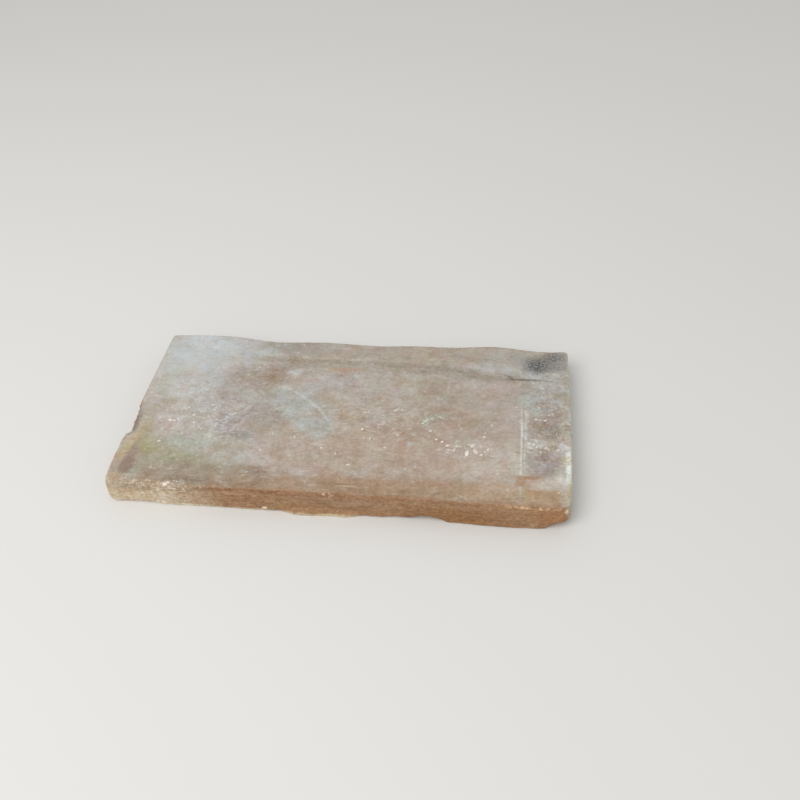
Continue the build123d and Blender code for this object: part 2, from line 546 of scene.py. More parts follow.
def speck_group():
    """Sparse specks: pale ones of lime and dark ones of grit, each from 0 to 1."""
    group = bpy.data.node_groups.new("specks", "ShaderNodeTree")
    outputs = {"Pale": "NodeSocketFloat", "Dark": "NodeSocketFloat"}
    given, made = sockets(group, {"Place": NOWHERE, "Spacing": 3.4}, outputs)
    blurred = clouds(given["Place"], 2.0, 1.0, 0.5, seed=33, output="Color")
    bent = vectors("ADD", given["Place"], scaled(blurred, 2.4))
    at = vectors("DIVIDE", bent, given["Spacing"])
    away = put(group, "ShaderNodeTexVoronoi", {"Vector": at, "Scale": 1.0}, output="Distance")
    lot = put(group, "ShaderNodeTexVoronoi", {"Vector": at, "Scale": 1.0}, output="Color")
    pale_reach = graded(part_of(lot, TO_THE_RIGHT), 0.70, 1.0, 0.0, 0.36)
    dark_reach = graded(part_of(lot, TO_THE_BACK), 0.84, 1.0, 0.0, 0.26)
    for name, reach in (("Pale", pale_reach), ("Dark", dark_reach)):
        inside = graded(maths("SUBTRACT", away, reach), 0.06, -0.20)
        group.links.new(inside, made[name])
    return group


# Stains on the walking face, as the rows that mark() reads, each with its colour.  Broad washes come
# first, and what lies on top of them last.
FACE_STAINS = [
    # warmer clay towards the front, pinkish where the dust is thin, and greyer behind the middle
    ((30, -48), (112, 24), 3, 0.5, 6, 0.2, 0.7, (177, 158, 142)),
    ((-4, 32), (30, 22), 2.6, 0.6, 6, 0.25, 0.35, (178, 170, 160)),
    ((88, 6), (20, 14), 2, 0.7, 5, 0.4, 0.6, (170, 155, 141)),
    ((60, 30), (14, 10), 2, 0.7, 5, 0.4, 0.5, (167, 153, 138)),
    ((42, -22), (18, 13), 2, 0.7, 4, 0.4, 0.6, (171, 152, 136)),
    ((112, -38), (26, 22), 2.4, 0.7, 5, 0.2, 0.75, (186, 172, 158)),
    ((44, 68), (72, 11), 3, 0.6, 4, 0.2, 0.6, (167, 157, 144)),
    # the broad lime bloom at the back left, its bluish heart and its tail along the back edge
    ((-134, 48), (46, 40), 2.6, 0.45, 6, 0.1, 0.85, (190, 188, 181)),
    ((-96, 72), (30, 13), 3, 0.5, 5, 0.2, 0.75, (188, 188, 183)),
    ((-136, 60), (28, 21), 2, 0.5, 5, 0.05, 0.9, (195, 200, 200)),
    ((-110, 40), (17, 14), 2, 0.6, 4, 0.2, 0.75, 20, (193, 191, 184)),
    ((-133, 73), (14, 9), 8, 0.2, 0.8, 0, 0.5, (202, 205, 205)),
    # grey wash at the left
    ((-140, 6), (26, 26), 2, 0.7, 5, 0.4, 0.4, (183, 177, 168)),
    # grey haze right of the middle, and peach and orange washes
    ((22, 20), (24, 14), 2, 0.7, 5, 0.4, 0.35, (172, 167, 158)),
    ((54, 66), (24, 11), 2, 0.6, 5, 0.4, 0.5, (177, 160, 142)),
    ((114, 28), (12, 11), 2.4, 0.5, 5, 0.3, 0.7, (177, 154, 136)),
    ((118, -6), (12, 24), 2.4, 0.6, 5, 0.4, 0.5, (181, 163, 148)),
    # where the dust lies thicker or thinner: greyer at the back left, browner right of the middle
    ((-124, 24), (22, 20), 2, 0.7, 5, 0.2, 0.6, (196, 195, 191)),
    ((-90, 51), (15, 12), 2, 0.7, 5, 0.2, 0.7, (186, 185, 180)),
    ((-58, 70), (30, 9), 2.5, 0.6, 4, 0.2, 0.85, (161, 155, 146)),
    ((-152, 66), (10, 4), 2.5, 0.7, 3, 0.3, 0.6, -8, (180, 176, 170)),
    ((-50, 48), (14, 7), 2.5, 0.7, 4, 0.3, 0.6, (158, 154, 146)),
    ((-62, 8), (22, 10), 2.5, 0.7, 4, 0.3, 0.55, (162, 161, 156)),
    ((-92, 68), (10, 10), 2.5, 0.7, 4, 0.2, 0.6, (190, 192, 190)),
    ((112, 50), (16, 9), 2.5, 0.7, 4, 0.3, 0.55, (174, 170, 163)),
    ((96, 46), (72, 9), 3, 0.6, 4, 0.1, 0.6, (182, 177, 170)),
    ((114, 14), (18, 40), 3, 0.6, 5, 0.1, 0.25, (182, 180, 176)),
    ((44, -32), (50, 16), 3, 0.6, 4, 0.1, 0.3, (180, 158, 138)),
    ((-92, -2), (36, 62), 3, 0.6, 5, 0.1, 0.22, (176, 182, 184)),
    ((-98, 46), (24, 12), 2.5, 0.6, 4, 0.1, 0.8, (190, 190, 186)),
    ((-20, 26), (24, 13), 2.5, 0.6, 3, 0.1, 0.5, (179, 176, 174)),
    ((130, 48), (12, 9), 2.5, 0.6, 3, 0.1, 0.5, (188, 187, 183)),
    ((130, 67), (11, 9), 2.5, 0.6, 3, 0.1, 0.5, (163, 168, 162)),
    ((111, 68), (14, 8), 2.5, 0.6, 3, 0.1, 0.5, (172, 168, 161)),
    ((94, 16), (12, 14), 2.5, 0.7, 4, 0.3, 0.5, (181, 170, 158)),
    ((70, 16), (17, 20), 2, 0.7, 5, 0.3, 0.6, (163, 147, 132)),
    ((76, -13), (34, 11), 2.5, 0.7, 5, 0.3, 0.65, (170, 148, 130)),
    ((-66, -10), (19, 14), 2, 0.7, 4, 0.2, 0.75, (156, 147, 137)),
    ((-88, -31), (16, 8), 2, 0.7, 4, 0.3, 0.6, (186, 181, 176)),
    ((109, -50), (16, 8), 2, 0.7, 4, 0.3, 0.6, (194, 183, 169)),
    # the warm band along the front, pinker at the right
    ((68, -73), (108, 9), 6, 0.45, 2, 0.1, 0.9, 0.4, (166, 138, 111)),
    ((122, -70), (26, 8), 3, 0.6, 3, 0.2, 0.65, (188, 166, 145)),
    ((148, -71), (16, 8), 3, 0.5, 2, 0.1, 0.9, (175, 147, 114)),
    ((30, -80.2), (128, 1.9), 6, 0.7, 0.9, 0.2, 0.75, (156, 121, 93)),
    ((-62, -78.6), (38, 3), 3, 0.6, 0.9, 0.15, 0.8, (164, 132, 104)),
    ((24, -77.4), (32, 4), 3, 0.6, 0.9, 0.15, 0.75, (156, 126, 99)),
    # rose brown and brown, left of the middle, with a redder heart
    ((-80, 33), (31, 13), 2.5, 0.4, 5, 0.3, 0.8, 3, (164, 151, 140)),
    ((-70, 33), (12, 10), 2, 0.6, 3, 0.15, 0.8, 10, (158, 139, 124)),
    ((-100, 10), (12, 12), 2, 0.5, 4, 0.4, 0.7, (163, 151, 141)),
    # chalk, lilac grey and violet grey
    ((-114, -13), (24, 15), 2, 0.6, 4, 0.5, 0.7, 10, (189, 185, 179)),
    ((-91, -17), (8, 14), 2, 0.6, 3, 0.4, 0.75, 5, (163, 154, 153)),
    ((-78, -31), (11, 6), 2, 0.6, 3, 0.3, 0.85, (148, 139, 134)),
    # white scratches in them
    ((-98, -21), (5, 0.9), 3, 0.9, 1.4, 0.8, 0.9, 62, (206, 202, 198)),
    ((-92, -14), (4, 0.8), 3, 0.9, 1.4, 0.8, 0.9, 40, (204, 200, 197)),
    ((-86, -8), (5, 0.9), 3, 0.9, 1.4, 0.8, 0.9, 30, (202, 198, 195)),
    ((-78, -1), (5, 0.8), 3, 0.9, 1.4, 0.8, 0.8, 50, (200, 196, 191)),
    ((-79, -17), (6, 0.9), 3, 0.9, 1.4, 0.8, 0.9, 80, (206, 203, 200)),
    ((-84, -24), (5, 0.8), 3, 0.9, 1.4, 0.8, 0.8, 66, (204, 200, 198)),
    ((-90, -33), (6, 0.9), 3, 0.9, 1.4, 0.8, 0.8, 8, (200, 194, 190)),
    ((-71, -8), (5, 0.8), 3, 0.9, 1.4, 0.8, 0.7, 20, (198, 194, 190)),
    ((-132, -15), (11, 1.2), 3, 0.9, 1.4, 0.8, 0.8, 4, (206, 200, 193)),
    # the ring that something round left: brown inside, then the pale crescent and its bright rim
    ((-37.5, -5), (33, 15), 2.6, 0.12, 0.8, 0, 0.8, -42, 0.39, (173, 172, 165)),
    ((-12, 6), (12, 14), 2, 0.6, 2, 0.1, 0.5, -40, (181, 169, 155)),
    ((-65, -17), (13, 12), 2, 0.4, 2, 0.2, 0.75, -15, (164, 152, 138)),
    ((-34, -13), (26, 8), 2.6, 0.4, 1.5, 0.1, 0.35, -42, 0.3, (180, 180, 173)),
    ((-31.5, 1.7), (30, 1.1), 3, 0.7, 0.6, 0.2, 0.9, -42, 4.8, (194, 192, 187)),
    # the white smudge behind it and its tail
    ((-49, 41), (6, 3), 2, 0.7, 2.5, 0.4, 0.95, 22, (198, 199, 195)),
    ((-40, 45), (12, 2.2), 2, 0.8, 1.5, 0.5, 0.7, 22, (192, 190, 185)),
    ((-20, 46), (16, 1.4), 2, 0.7, 1.5, 0.5, 0.5, 4, (194, 189, 178)),
    ((-80, 48.6), (20, 1.2), 3, 0.9, 1.2, 0.45, 0.65, 7, 0.4, (196, 191, 178)),
    # green algae, wide and pale, teal in the middle, with yellow hearts and an olive foot
    ((-120, -49), (42, 14), 2.5, 0.6, 5, 0.3, 0.75, (166, 162, 142)),
    ((-115, -41), (15, 7), 2, 0.7, 3, 0.35, 0.7, (171, 179, 167)),
    ((-146, -45), (9, 7), 2, 0.8, 3, 0.2, 0.75, (164, 157, 116)),
    ((-116, -56), (20, 6), 2, 0.8, 3, 0.3, 0.75, (155, 152, 122)),
    ((-151, -30), (4, 13), 2, 0.8, 2, 0.3, 0.65, 8, (163, 158, 122)),
    ((-94, -55), (22, 7), 2, 0.7, 3, 0.3, 0.6, -6, (168, 164, 143)),
    ((-70, -52), (20, 8), 2, 0.7, 4, 0.3, 0.7, (187, 185, 178)),
    # the grey brown ground at the front left, and the ochre left end with its brown drop
    ((-118, -67), (50, 8), 3, 0.5, 3, 0.15, 0.85, (155, 144, 126)),
    ((-133, -76), (26, 5), 3, 0.6, 2, 0.1, 0.85, (173, 155, 137)),
    ((-84, -71), (44, 8), 3, 0.6, 3, 0.2, 0.6, (154, 136, 116)),
    ((-8, -72), (15, 8), 2, 0.6, 3, 0.2, 0.75, (160, 132, 108)),
    ((-151, -55), (10, 11), 2, 0.7, 3, 0.2, 0.6, (154, 140, 118)),
    ((-158, -46), (4, 17), 2.5, 0.5, 2, 0.1, 0.8, -14, (184, 162, 128)),
    ((-153.4, -55), (3.4, 12), 2, 0.5, 0.8, 0, 0.8, -8, (152, 132, 118)),
    ((-152.2, -64.5), (5.2, 7.4), 2, 0.3, 0.5, 0, 0.9, (145, 126, 114)),
    # the short crease near the front edge and its bright lip
    ((8.6, -71.2), (6, 0.8), 3, 0.8, 0.5, 0.1, 0.8, -3, 0.6, (134, 108, 86)),
    ((12.4, -72.6), (6.5, 0.7), 3, 0.8, 0.5, 0.3, 0.8, -3, 0.6, (212, 194, 172)),
    # front left: brown streak, peach corner
    ((-106, -74.4), (16, 2.2), 2.5, 0.6, 1.2, 0.3, 0.8, -2, (134, 113, 96)),
    ((-130, -71.4), (24, 0.6), 3, 0.8, 0.6, 0.4, 0.5, -1, 0.3, (140, 124, 106)),
    ((-104, -76.4), (10, 1.4), 2.5, 0.6, 1.2, 0.3, 0.3, 2, (122, 106, 92)),
    ((-158, -77), (8, 4), 2, 0.6, 2, 0.15, 0.85, (188, 156, 126)),
    # the brown stain with its sharp right side, and the pinkish panel beside it
    ((-66, -68), (17, 9), 3, 0.6, 2, 0.3, 0.55, (160, 142, 126)),
    ((-55, -69), (8.5, 10.5), 6, 0.16, 0.6, 0.1, 0.7, (150, 130, 114)),
    ((-54.5, -70), (4.5, 8), 2, 0.7, 1, 0.2, 0.6, (138, 119, 104)),
    ((-30, -60), (14, 17), 10, 0.1, 0.6, 0.2, 0.5, (179, 165, 154)),
    ((-36, -74), (46, 6), 3, 0.6, 1.5, 0.1, 0.6, (163, 138, 114)),
    # the crease parallel to the back edge, its olive shadow and its pale lip
    ((-15, 51), (72, 5), 3, 0.7, 2.5, 0.35, 0.65, (162, 152, 136)),
    ((74, 45.4), (46, 5.4), 3, 0.6, 2.5, 0.3, 0.75, -5, (159, 149, 134)),
    ((-22, 54), (46, 2.4), 4, 0.9, 1.1, 0.4, 0.6, -0.5, 0.5, (146, 135, 116)),
    ((66, 48.6), (44, 2.8), 4, 0.9, 1.1, 0.4, 0.5, -5.5, 0.6, (146, 133, 113)),
    ((86, 42.4), (26, 1.2), 4, 0.9, 1.1, 0.5, 0.5, -3, 0.6, (146, 134, 118)),
    ((-5, 57.5), (40, 1.1), 4, 0.9, 0.8, 0.4, 0.55, 0, 0.6, (188, 181, 167)),
    ((-10, 45.4), (15, 2.2), 2, 0.6, 1.5, 0.3, 0.85, (181, 153, 128)),
    # the faint right-angled line and a fainter one behind it
    ((64, 41.5), (11, 0.7), 4, 0.9, 0.5, 0.5, 0.6, -12, (194, 187, 176)),
    ((73.4, 33), (0.7, 8), 4, 0.9, 0.5, 0.5, 0.6, (194, 187, 176)),
    # pale dust round the mortar crumbs, the greenish scratched place and a pale blue spot
    ((93, -31), (17, 7), 2, 0.7, 3, 0.8, 0.35, 6, (196, 187, 178)),
    ((67, -5), (11, 6), 2, 0.7, 2.5, 0.3, 0.4, 14, (170, 166, 152)),
    ((61.6, -4.6), (6, 1.7), 2.5, 0.5, 1, 0.35, 0.85, 50, (166, 171, 158)),
    ((70, -1.6), (6, 1.9), 2.5, 0.5, 1.2, 0.4, 0.8, 0, 0.4, (166, 169, 157)),
    ((67, -7.2), (4, 0.9), 2.5, 0.6, 0.7, 0.1, 0.7, 18, 0.3, (130, 119, 101)),
    ((62, -14), (5, 1.6), 2.5, 0.6, 1.2, 0.4, 0.6, -62, (178, 174, 161)),
    ((68, -18), (7, 1.8), 2.5, 0.6, 1.2, 0.4, 0.55, -35, (182, 171, 160)),
    ((50.5, -29.5), (3, 2.4), 2, 0.6, 1.2, 0.5, 0.8, (184, 188, 182)),
    # the strip at the right end: its ground, bluish top and purple mottles
    ((147, -1), (18, 64), 14, 0.04, 0.4, 0.1, 0.7, (170, 160, 149)),
    ((145, 24), (16, 19), 4, 0.35, 3, 0.3, 0.75, (171, 172, 165)),
    ((151, -6), (11, 14), 2, 0.6, 3, 0.4, 0.85, (150, 138, 129)),
    ((150, 45), (16, 9), 3, 0.6, 3, 0.1, 0.8, (182, 181, 175)),
    ((146, -42), (10, 11), 2, 0.6, 3, 0.5, 0.75, (156, 145, 143)),
    ((161, -32), (4.4, 44), 3, 0.6, 2, 0.3, 0.7, (196, 193, 184)),
    # the strip's white lines, patch and bands, and the orange bar at its foot
    ((131.1, -24), (2.6, 37), 4, 0.8, 0.7, 0.45, 0.4, (198, 197, 188)),
    ((130, -28), (0.8, 34), 4, 0.6, 0.5, 0.5, 0.95, (216, 215, 205)),
    ((132.6, -16), (0.7, 28), 4, 0.6, 0.5, 0.6, 0.8, (214, 213, 203)),
    ((126, -44), (4, 16), 2, 0.7, 2, 0.3, 0.7, 4, (196, 191, 184)),
    ((134.2, -8), (0.7, 24), 4, 0.9, 0.6, 0.5, 0.6, (196, 194, 188)),
    ((140, -23), (8, 5), 2, 0.6, 3, 0.7, 0.9, (208, 209, 206)),
    ((155, -26), (9, 5), 2, 0.6, 3, 0.8, 0.8, (200, 198, 194)),
    ((137.4, -59), (10.5, 4.4), 6, 0.3, 0.8, 0.15, 0.95, (170, 136, 106)),
    ((151, -57), (14, 4.6), 3, 0.6, 1.2, 0.1, 0.9, 20, -0.5, (203, 197, 186)),
    ((163.8, -44), (3.2, 17), 3, 0.5, 0.8, 0.1, 1, (226, 226, 214)),
    ((164.4, -69), (2.6, 12), 3, 0.6, 0.6, 0.2, 0.9, (182, 180, 144)),
    ((165, 40), (1.6, 50), 3, 0.5, 0.6, 0.2, 0.8, (186, 184, 172)),
    # the hooked end of the crease
    ((119.4, 43.6), (5, 1.1), 3, 0.8, 0.3, 0, 0.85, -36, 0.6, (132, 124, 112)),
    ((134, 41.3), (15, 1), 3, 0.8, 0.3, 0.1, 0.95, 0.5, 0.5, (120, 115, 104)),
    # pale flecks at the soot's near side
    ((151, 50), (7, 1.2), 2, 0.8, 2, 0.5, 0.7, 8, (200, 198, 188)),
    ((158, 53), (4, 1), 2, 0.8, 2, 0.5, 0.7, 10, (202, 200, 190)),
]

# The soot in the back right corner: a faint haze, then the grains, densest at the left.
SOOT_HAZE = ((146, 61), (17, 11), 2.5, 0.5, 2, 0, 0.6, 8)
SOOT = [
    ((141, 58.5), (9, 7), 2, 0.7, 2, 0, 0.95, 8),
    ((139, 59), (5, 5), 2, 0.6, 2, 0, 0.5),
    ((155, 68), (10, 5.5), 2, 0.7, 2, 0, 0.75, 14),
    ((156, 57), (6, 4), 2, 0.8, 2, 0, 0.3, 10),
]

# Where the walking face is flecked with lime, thickest first.
FLECKED = [
    ((140, -25), (9, 5), 2, 0.7, 3, 0, 1),
    ((68, -6), (10, 7), 2, 0.7, 3, 0, 0.9, 14),
    ((-119, -13), (18, 9), 2, 0.7, 4, 0, 1, 6),
    ((-98, -10), (18, 18), 2, 0.8, 4, 0, 0.75),
    ((93, -31), (18, 8), 2, 0.8, 3, 0, 1, 4),
    ((26, -4), (26, 16), 2, 0.8, 4, 0, 0.6),
    ((149, -10), (15, 52), 3, 0.6, 3, 0, 0.5),
    ((-20, -30), (150, 44), 3, 0.5, 4, 0, 0.25),
]

# Where the walking face is blotchier than elsewhere, or plainer where the strength is less than
# nothing: the lime at the back left, the chalk, the strip, the front left, and the right and back.
BLOTCHY = [
    ((-134, 55), (36, 30), 2, 0.6, 4, 0, -0.36),
    ((-95, -12), (34, 28), 2, 0.6, 4, 0, 0.12),
    ((149, 0), (16, 52), 6, 0.3, 2, 0, 0.32),
    ((-112, -77), (52, 6), 2, 0.6, 2, 0, 0.2),
    ((92, 4), (40, 54), 3, 0.5, 3, 0, -0.09),
    ((40, 66), (110, 12), 3, 0.5, 3, 0, -0.13),
]

# Stains on the front, placed from the front with heights from the bed.
FRONT_STAINS = [
    # pale lime and buff at the left, browner patches in it, and a bright rim along its foot
    ((-140, 10), (48, 16), 3, 0.4, 4, 0.2, 0.92, (200, 182, 157)),
    ((-104, 8), (12, 6), 2, 0.7, 3, 0.4, 0.6, (176, 152, 122)),
    ((-104, 5), (16, 2.6), 2.5, 0.6, 2, 0.3, 0.5, (172, 149, 122)),
    ((-138, 7), (26, 4), 3, 0.5, 2, 0.2, 0.7, (206, 191, 168)),
    ((-150, 12), (10, 4), 2, 0.7, 3, 0.4, 0.5, 10, (196, 164, 128)),
    ((-98, 16), (13, 4), 2, 0.6, 3, 0.3, 0.7, (162, 134, 108)),
    ((-122, 1), (48, 1.5), 3, 0.6, 0.8, 0.2, 0.85, -0.5, (232, 220, 194)),
    ((-62, 0.6), (24, 1), 3, 0.7, 0.8, 0.4, 0.7, (214, 192, 160)),
    # the lip along the foot where the clay squeezed out
    ((-8, 0.4), (26, 2.1), 3, 0.35, 0.8, 0.1, 0.9, (212, 195, 162)),
    ((30, 0.2), (18, 1.4), 3, 0.4, 0.8, 0.3, 0.7, (206, 184, 150)),
    # a redder line below the upper edge, a paler one in it, grey bloom, orange at the right
    ((-42, 19.8), (50, 2.2), 3, 0.7, 1, 0.3, 0.6, (146, 109, 84)),
    ((-76, 20.2), (26, 1.2), 3, 0.6, 0.8, 0.2, 0.7, 2, (138, 106, 78)),
    ((74, 20.4), (84, 1.4), 3, 0.7, 0.8, 0.4, 0.5, (146, 108, 80)),
    ((60, 16.5), (100, 3), 3, 0.6, 1.5, 0.2, 0.35, (164, 134, 106)),
    ((-78, 16.6), (26, 1.9), 3, 0.7, 1, 0.3, 0.7, 3, 0.5, (174, 142, 112)),
    ((-30, 8), (16, 6), 2.5, 0.6, 2, 0.2, 0.6, (166, 134, 102)),
    ((10, 13), (26, 4), 2, 0.7, 3, 0.3, 0.4, (156, 134, 114)),
    ((60, 9), (14, 4), 2, 0.7, 3, 0.3, 0.4, (156, 132, 110)),
    ((84, 7), (32, 7), 3, 0.6, 3, 0.1, 0.7, (145, 104, 66)),
    ((128, 17), (18, 3), 3, 0.6, 2, 0.2, 0.6, (168, 132, 98)),
    # fresh chips; those along the upper edge at the right are painted bright as highlights where the
    # edge catches the light
    ((154, 12), (12, 7), 2, 0.7, 3, 0.3, 0.5, (168, 112, 72)),
    ((141, 19.8), (15, 1), 3, 0.8, 0.8, 0.8, 1, -1, (226, 192, 152)),
    ((161.2, 17.2), (1.2, 2.2), 2, 0.5, 0.6, 0.1, 0.95, (232, 210, 182)),
    ((-49, 2.6), (1.8, 1.1), 2, 0.5, 0.6, 0.1, 0.95, (240, 226, 208)),
    ((137, 4), (3.2, 1), 2, 0.5, 0.6, 0.3, 0.8, (206, 180, 150)),
    ((-0.8, 19.8), (2.2, 1.6), 2, 0.6, 0.8, 0.1, 0.8, (138, 98, 72)),
    ((-3, 20.9), (1.3, 1), 2, 0.7, 1.4, 0.4, 0.8, 20, (220, 194, 166)),
    ((0.6, 21), (1, 0.7), 2, 0.7, 1.4, 0.4, 0.7, 20, (214, 186, 158)),
    ((1.4, 18.9), (1.4, 0.8), 2, 0.7, 1.4, 0.4, 0.8, 30, (220, 190, 160)),
]

# Chalk in the worn front edge, seen from above.
CHALK = [
    ((-146, -78.4), (12, 2.4), 2, 0.5, 1.5, 0, 0.95, -3),
    ((-131, -79.4), (9, 2.6), 2, 0.5, 1.5, 0, 0.8, -3),
    ((-116, -80.6), (12, 4), 2, 0.5, 1.5, 0, 1, 8),
]

# The bitten end's broken slope, painted grey as the shade that falls on it, placed from the left with
# heights from the bed.
BITTEN_END_SHADE = ((-19, 20), (15, 7), 2.2, 0.45, 3, 0.25, 0.8, -4)

# The pale right end, where the lime ran over the edge.
PALE_END = ((167, 5), (6, 92), 4, 0.3, 1, 0.1, 0.95)

# The clay's own colours and those of what lies on it, with the painted shade of the bitten end's
# fracture, the crumbled front edge and the hollows, as they look, from 0 to 255.
BARE_FACE, DUSTY_FACE = (174, 160, 145), (184, 173, 160)
DUST_SMEAR, RUBBED_SMEAR = (198, 189, 181), (152, 134, 120)
LIME_SPECK, GRIT_SPECK, LIME_FLECK = (210, 204, 196), (122, 108, 96), (217, 212, 204)
SOOT_FILM, SOOT_GRAIN = (140, 141, 138), (78, 81, 83)
SIDE, SIDE_DRAGGED = (150, 115, 84), (164, 129, 98)
SIDE_PALER, SIDE_REDDER, SIDE_DUST = (180, 152, 122), (158, 116, 80), (172, 149, 125)
END_LIME, FOOT_RIM = (202, 199, 183), (206, 180, 146)
FRACTURE_SHADE, HOLLOW_SHADE = (156, 147, 139), (128, 106, 88)
EDGE_CRUST_AND_SHADE, EDGE_CHALK = (160, 144, 126), (232, 222, 205)

# How strongly the dust and the grain mottle the clay, on the sides and on the walking face.
DUST_ON_SIDES, DUST_ON_FACE = 0.50, 0.64
GRAIN_ON_SIDES, GRAIN_ON_FACE = 1.4, 0.66


def clay_finish():
    """The fired clay: dusty and stained on the walking face, orange brown and dragged on the sides."""
    material, tree, place = blank_finish("fired clay")
    up = put(tree, "ShaderNodeAttribute", output="Fac", attribute_name="facing_up")
    rise = put(tree, "ShaderNodeAttribute", output="Fac", attribute_name="rise")
    tear, gaps = torn_at(place)
    height = part_of(place, UPWARDS)
    broad = clouds(place, 26.0, 3.0, 0.55, seed=21)
    mottle = clouds(place, 8.0, 3.0, 0.6, seed=22)

    # The walking face: clay under a film of dust, with its stains, and short smears along it.
    face = mixed(graded(mottle, 0.30, 0.70), paint(*BARE_FACE), paint(*DUSTY_FACE))
    for *row, colour in FACE_STAINS:
        face = painted(face, colour, mark(place, row, tear, gaps))
    smeared, rubbed = put_group(tree, smear_group(), {"Place": place})
    face = painted(face, DUST_SMEAR, smeared, 0.34)
    face = painted(face, RUBBED_SMEAR, rubbed, 0.28)

    # On it lie specks of lime and grit, thicker flecks of lime, and the soot.
    specks, grit = put_group(tree, speck_group(), {"Place": place})
    face = painted(face, LIME_SPECK, specks, graded(broad, 0.42, 0.60, 0.0, 0.6))
    face = painted(face, GRIT_SPECK, grit, 0.35)
    flecked = marked(place, FLECKED, tear)
    fleck_at = vectors("MULTIPLY", place, (0.5, 1.0, 1.0))
    flecks = graded(clouds(fleck_at, 1.9, 3.0, 0.7, seed=38), 0.58, 0.67)
    face = painted(face, LIME_FLECK, flecks, flecked)
    sooty = clouds(place, 1.3, 2.0, 0.8, seed=36)
    face = painted(face, SOOT_FILM, mark(place, SOOT_HAZE, tear))
    for row in SOOT:
        face = painted(face, SOOT_GRAIN, mark(place, row, tear), graded(sooty, 0.38, 0.58))

    # The sides: orange brown, mottled, with soft level drag lines, and dusty away from the front.
    level_at = vectors("MULTIPLY_ADD", place, (0.07, 0.07, 0.45), scaled(tear, 0.16))
    level = clouds(level_at, 1.0, 3.0, 0.6, seed=26)
    sides = mixed(graded(level, 0.30, 0.70), paint(*SIDE), paint(*SIDE_DRAGGED))
    sides = painted(sides, SIDE_PALER, graded(mottle, 0.50, 0.72, 0.0, 0.14))
    sides = painted(sides, SIDE_REDDER, graded(broad, 0.45, 0.66, 0.0, 0.20))
    across = part_of(place, TO_THE_RIGHT)
    to_the_back = part_of(place, TO_THE_BACK)
    from_front = put(tree, "ShaderNodeCombineXYZ", {0: across, 1: height})
    front = graded(to_the_back, -40.0, -66.0)
    away = maths("SUBTRACT", 1.0, front)
    sides = painted(sides, SIDE_DUST, away, graded(broad, 0.36, 0.62, 0.1, 0.6))

    # Their stains, the lime that ran over the right end, and a pale rim along the foot.
    for *row, colour in FRONT_STAINS:
        sides = painted(sides, colour, mark(from_front, row, tear, gaps), front)
    sides = painted(sides, END_LIME, mark(place, PALE_END, tear, gaps))
    foot = graded(height, 1.6, 0.3)
    sides = painted(sides, FOOT_RIM, foot, graded(level, 0.40, 0.60, 0.0, 0.5))

    walked = graded(total(up, product(mottle, 0.24)), 0.84, 1.10)
    colour = mixed(walked, sides, face)

    # The bitten end's fracture is painted grey as the shade on its broken slope, and the worn front
    # edge is a crust with chalky flecks in it, painted browner as the shade between its crumbs.
    from_left = put(tree, "ShaderNodeCombineXYZ", {0: to_the_back, 1: height})
    at_left = graded(across, -156.0, -160.0)
    colour = painted(colour, FRACTURE_SHADE, mark(from_left, BITTEN_END_SHADE, tear, gaps), at_left)
    chalky = product(mark(place, CHALKY_EDGE, tear), graded(height, 13.0, 17.0))
    # The crust's brown grey is its own colour together with the painted shade between its crumbs.
    colour = painted(colour, EDGE_CRUST_AND_SHADE, chalky, 0.6)
    crust_at = vectors("MULTIPLY", place, (0.36, 1.0, 1.0))
    crust = graded(clouds(crust_at, 2.4, 3.0, 0.7, seed=37), 0.54, 0.61)
    chalk = product(crust, marked(place, CHALK, tear), graded(height, 13.5, 17.0))
    colour = painted(colour, EDGE_CHALK, chalk, 0.85)
    # Sunken places, such as the creases and the pits, are painted darker as the shade that falls in
    # them.
    colour = painted(colour, HOLLOW_SHADE, graded(rise, -0.70, -1.40, 0.0, 0.4))

    # Fine life over everything, livelier on the sides.
    blotchy = marked(place, BLOTCHY, tear)
    fine_life = {
        "Place": place,
        "Dust contrast": total(graded(walked, 0.0, 1.0, DUST_ON_SIDES, DUST_ON_FACE), blotchy),
        "Grain contrast": total(graded(walked, 0.0, 1.0, GRAIN_ON_SIDES, GRAIN_ON_FACE), blotchy),
    }
    shade, grain = put_group(tree, grain_group(), fine_life)
    colour = mixed(1.0, colour, shade, "MULTIPLY")

    rough = total(grain, product(specks, 0.4))
    bump = {"Strength": 0.5, "Distance": 0.5 * MILLIMETRE, "Height": rough}
    end_finish(tree, colour, bump, roughness=0.9, gloss=0.25)
    return material


body_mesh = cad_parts["paver"].data.copy()
body_mesh.materials.clear()
merging = bmesh.new()
merging.from_mesh(body_mesh)
bmesh.ops.remove_doubles(merging, verts=merging.verts, dist=SAME_PLACE)
merging.to_mesh(body_mesh)
merging.free()

body = set_out("fired_clay", body_mesh)
evened = body.modifiers.new("even skin", "REMESH")
evened.mode = "VOXEL"
evened.voxel_size = BODY_VOXEL
relief = body.modifiers.new("relief", "NODES")
relief.node_group = relief_tree()
fitted = {
    "Finish": clay_finish(),
    "Lowest corner": tuple(frame_low),
    "Highest corner": tuple(frame_high),
}
set_inputs(relief, fitted)
settle(body)
thinned = body.modifiers.new("thinned", "DECIMATE")
thinned.ratio = BODY_TRIANGLES / (2 * len(body.data.polygons))
settle(body)
body.data.shade_smooth()

# Old mortar and lime: lumps and crumbs left on the walking face when the paver was lifted from its
# floor, and more of them along the worn front edge.  Each sits half sunk in the clay and is one
# with it, so they are joined to the body's mesh.
CRUMB_ROUNDS = 2
CRUMB_SPREAD = 30000.0
DROP_HEIGHT = 50 * MILLIMETRE
MORTAR_WHITE, MORTAR_GREY, MORTAR_SAND = (236, 230, 220), (208, 200, 190), (192, 182, 166)

